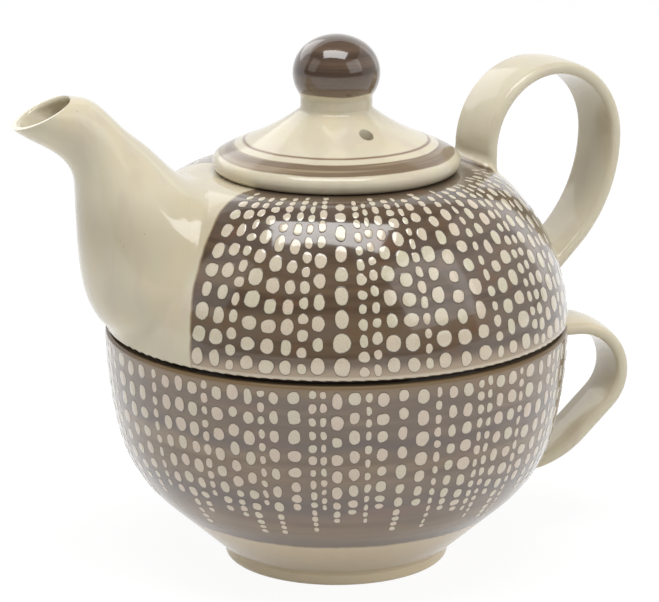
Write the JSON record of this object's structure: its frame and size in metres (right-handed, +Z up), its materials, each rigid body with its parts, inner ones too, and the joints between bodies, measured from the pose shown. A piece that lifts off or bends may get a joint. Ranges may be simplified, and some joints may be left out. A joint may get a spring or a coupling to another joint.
{
  "type": "tea for one teapot and cup",
  "caption": "Stoneware teapot with a curved spout, looped strap handle and ball-knobbed lid, standing in the mouth of its own round footed cup.",
  "frame": {"origin": "middle of the cup's foot ring, on the table, where the turning axis of all three pieces meets it", "axes": "+Z up along the turning axis, -X towards the spout, +X towards both handles, +Y completes the right-handed frame"},
  "size_m": [0.1716, 0.125, 0.1438],
  "materials": {
    "cup_glaze": "glossy brown glaze over cream stoneware",
    "pot_glaze": "glossy cream and brown glaze over stoneware",
    "lid_glaze": "glossy cream glaze with brown brushed bands"
  },
  "bodies": {
    "root": {"cup": "cup_glaze", "teapot": "pot_glaze", "lid": "lid_glaze"}
  },
  "joints": []
}
